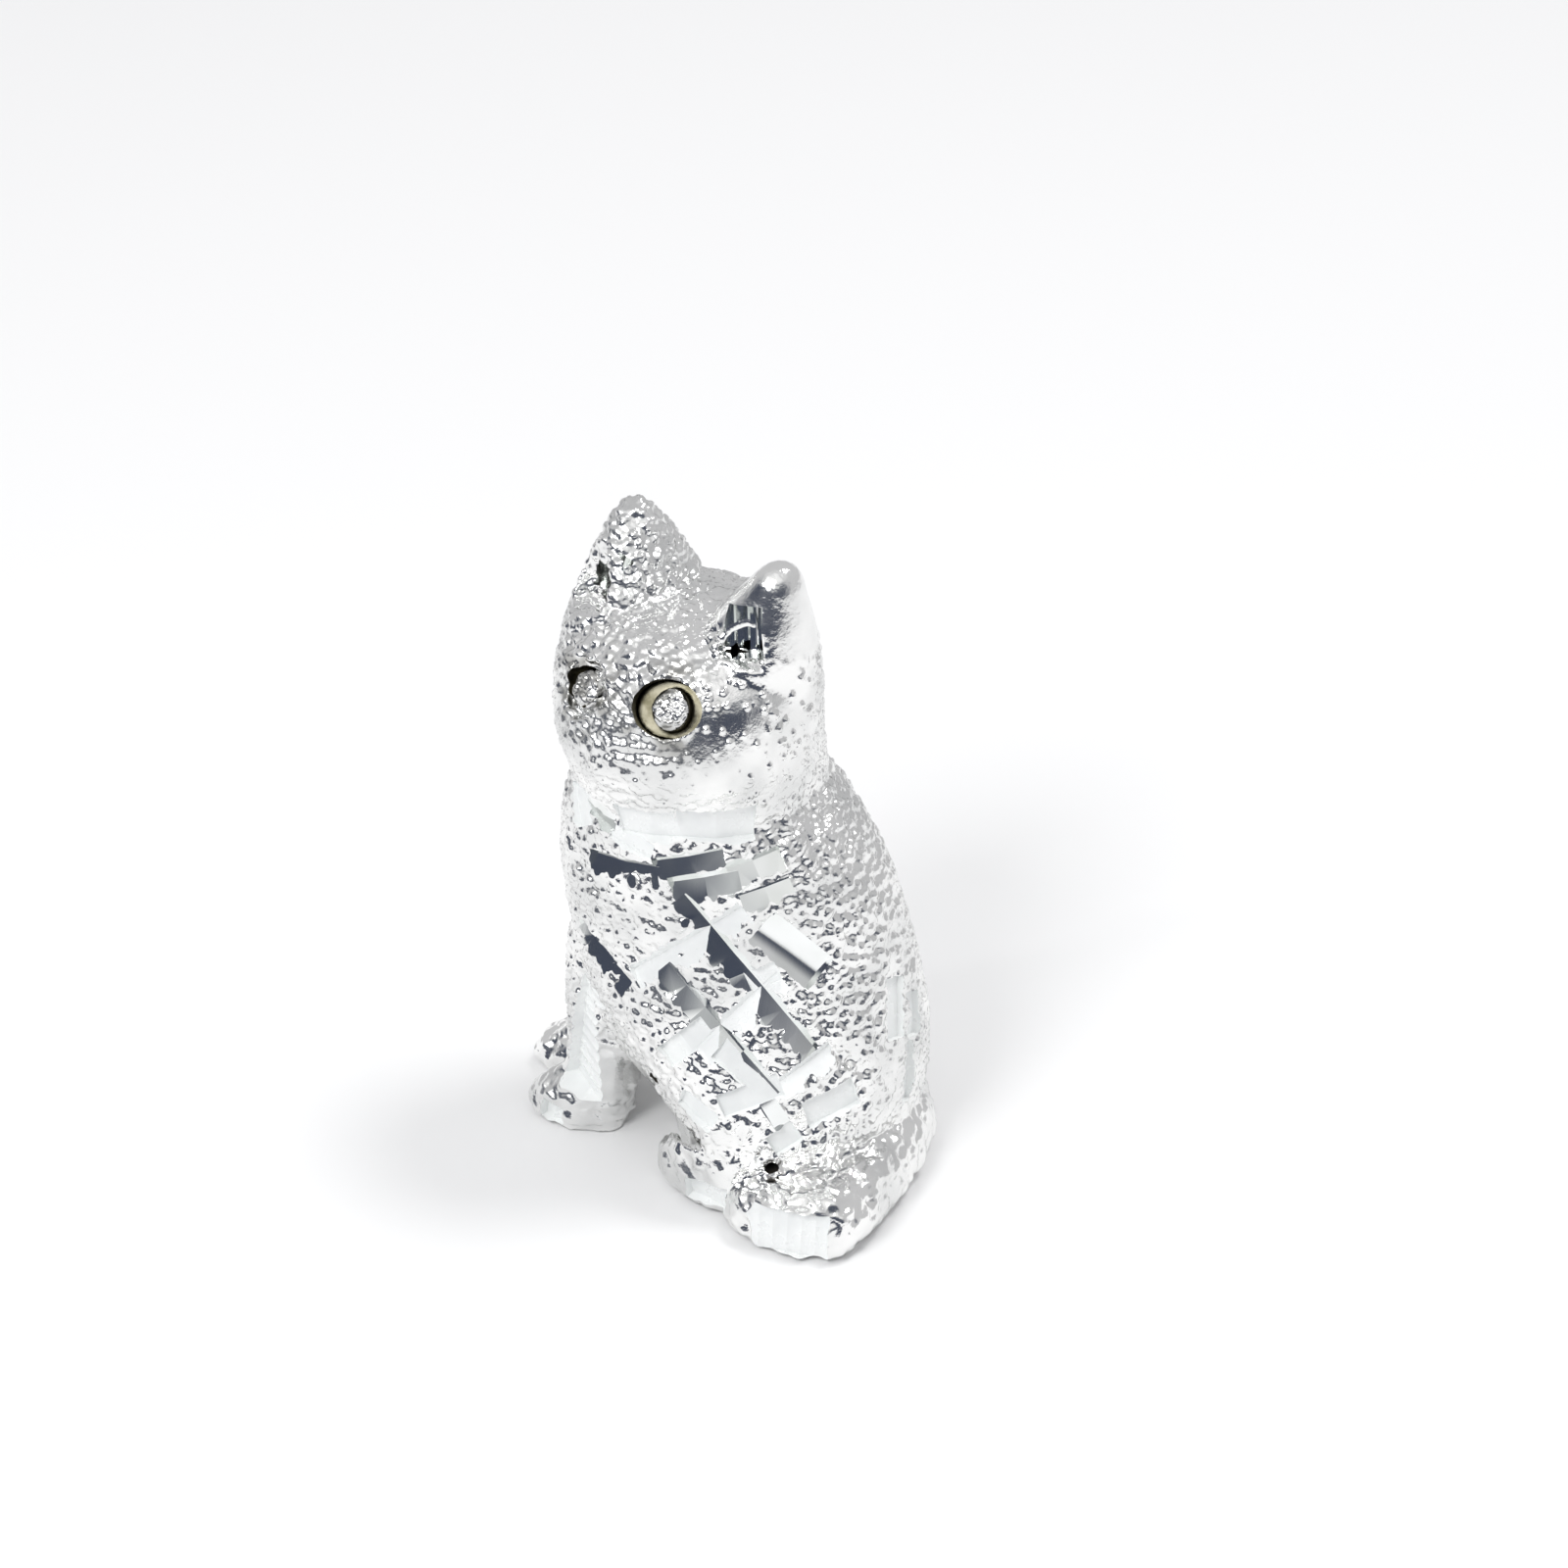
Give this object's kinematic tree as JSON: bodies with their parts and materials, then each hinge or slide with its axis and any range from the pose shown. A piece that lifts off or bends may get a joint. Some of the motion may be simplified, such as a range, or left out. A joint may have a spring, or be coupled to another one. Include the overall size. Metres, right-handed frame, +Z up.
{
  "type": "seated cat miniature",
  "caption": "Seated cat miniature in pebbled silver with bright-cut grooves, its head turned to its left and its tail laid along that side; free-standing.",
  "frame": {"origin": "middle of the footprint's box, on the ground", "axes": "+Z up, the chest faces -Y, +X is the cat's own left, the side that the head is turned to and the tail lies on"},
  "size_m": [0.0164, 0.0184, 0.0281],
  "materials": {
    "silver_shell": "bright silver, densely pebbled with 0.3 mm grains, crossed by mirror-bright V cuts",
    "silver_fitting": "bright silver, partly pebbled, ear tips and toes polished smooth, with fluted bright cuts",
    "silver_plain": "plain drawn silver sheet, dull from soldering",
    "eye_stud": "silver stud with a sparkling grained disc and a tarnished dark olive ring groove"
  },
  "bodies": {
    "root": {"body_left": "silver_shell", "body_right": "silver_shell", "base_plate": "silver_plain", "neck_sleeve": "silver_plain", "face_shell": "silver_shell", "nape_shell": "silver_shell", "ear_left": "silver_fitting", "ear_right": "silver_fitting", "eye_left": "eye_stud", "eye_right": "eye_stud", "foreleg_left": "silver_fitting", "foreleg_right": "silver_fitting", "hind_paw_left": "silver_fitting", "hind_paw_right": "silver_fitting", "tail": "silver_fitting"}
  },
  "joints": []
}
